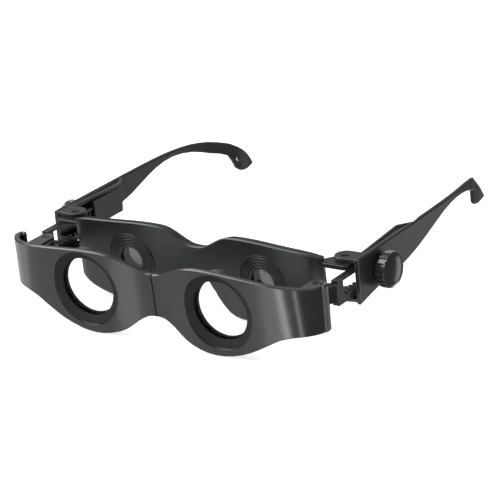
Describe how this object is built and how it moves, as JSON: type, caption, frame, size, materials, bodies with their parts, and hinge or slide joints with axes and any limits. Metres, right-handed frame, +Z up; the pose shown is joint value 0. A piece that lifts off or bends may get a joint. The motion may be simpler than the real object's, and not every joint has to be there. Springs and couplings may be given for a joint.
{
  "type": "binocular glasses",
  "caption": "Hands-free binocular spectacles whose objective frame slides on racks from the eyepiece frame, focused by side knobs, with temples that fold.",
  "frame": {"origin": "centre of the bounding box in plan, at the height of the lowest point of the objective frame", "axes": "+X to the right as seen from the objective side, +Y from the objectives towards the wearer and along the temples, +Z up"},
  "size_m": [0.1666, 0.1642, 0.0373],
  "materials": {
    "front_shell": "gloss",
    "rear_shell": "satin",
    "temple_plastic": "satin",
    "ring_plastic": "matte",
    "lens_glass": "polished and coated",
    "pin_steel": "burnished",
    "rubber": "matte"
  },
  "bodies": {
    "rear": {"rear_frame": "rear_shell", "nose_saddle": "rubber", "eyepiece_lens_right": "lens_glass", "eyepiece_lens_left": "lens_glass", "eyepiece_retainer_right": "ring_plastic", "eyepiece_retainer_left": "ring_plastic", "hinge_pin_upper_right": "pin_steel", "hinge_pin_upper_left": "pin_steel", "hinge_pin_lower_right": "pin_steel", "hinge_pin_lower_left": "pin_steel"},
    "front": {"front_frame": "front_shell", "objective_lens_right": "lens_glass", "objective_lens_left": "lens_glass", "objective_retainer_right": "ring_plastic", "objective_retainer_left": "ring_plastic", "front_pivot_pin_upper_right": "pin_steel", "front_pivot_pin_upper_left": "pin_steel", "front_pivot_pin_lower_right": "pin_steel", "front_pivot_pin_lower_left": "pin_steel"},
    "temple_right": {"temple_right": "temple_plastic", "temple_cover_right": "temple_plastic"},
    "rack_right": {"rack_right": "temple_plastic"},
    "knob_right": {"knob_right": "temple_plastic", "pinion_right": "temple_plastic", "knob_washer_right": "rubber"},
    "temple_left": {"temple_left": "temple_plastic", "temple_cover_left": "temple_plastic"},
    "rack_left": {"rack_left": "temple_plastic"},
    "knob_left": {"knob_left": "temple_plastic", "pinion_left": "temple_plastic", "knob_washer_left": "rubber"}
  },
  "joints": [
    {"name": "focus", "type": "slide", "parent": "rear", "child": "front", "axis": [0, 1, 0], "range_m": [0, 0.0212]},
    {"name": "temple_right_fold", "type": "hinge", "parent": "rear", "child": "temple_right", "pos_m": [0.0675, -0.03873, 0.0245], "axis": [0, 0, 1], "range_deg": [0, 76]},
    {"name": "rack_right_slide", "type": "slide", "parent": "temple_right", "child": "rack_right", "axis": [0, 1, 0], "range_m": [0, 0.0212]},
    {"name": "knob_right_turn", "type": "hinge", "parent": "temple_right", "child": "knob_right", "pos_m": [0.081, -0.02633, 0.02455], "axis": [1, 0, 0], "range_deg": [0, 478]},
    {"name": "temple_left_fold", "type": "hinge", "parent": "rear", "child": "temple_left", "pos_m": [-0.0675, -0.03873, 0.0245], "axis": [0, 0, -1], "range_deg": [0, 86]},
    {"name": "rack_left_slide", "type": "slide", "parent": "temple_left", "child": "rack_left", "axis": [0, 1, 0], "range_m": [0, 0.0212]},
    {"name": "knob_left_turn", "type": "hinge", "parent": "temple_left", "child": "knob_left", "pos_m": [-0.081, -0.02633, 0.02455], "axis": [1, 0, 0], "range_deg": [0, 478]}
  ],
  "couplings": [
    {"joint": "rack_right_slide", "follows": "focus", "ratio": 1},
    {"joint": "knob_right_turn", "follows": "focus", "rad_per_m": 392.16},
    {"joint": "rack_left_slide", "follows": "focus", "ratio": 1},
    {"joint": "knob_left_turn", "follows": "focus", "rad_per_m": 392.16}
  ]
}
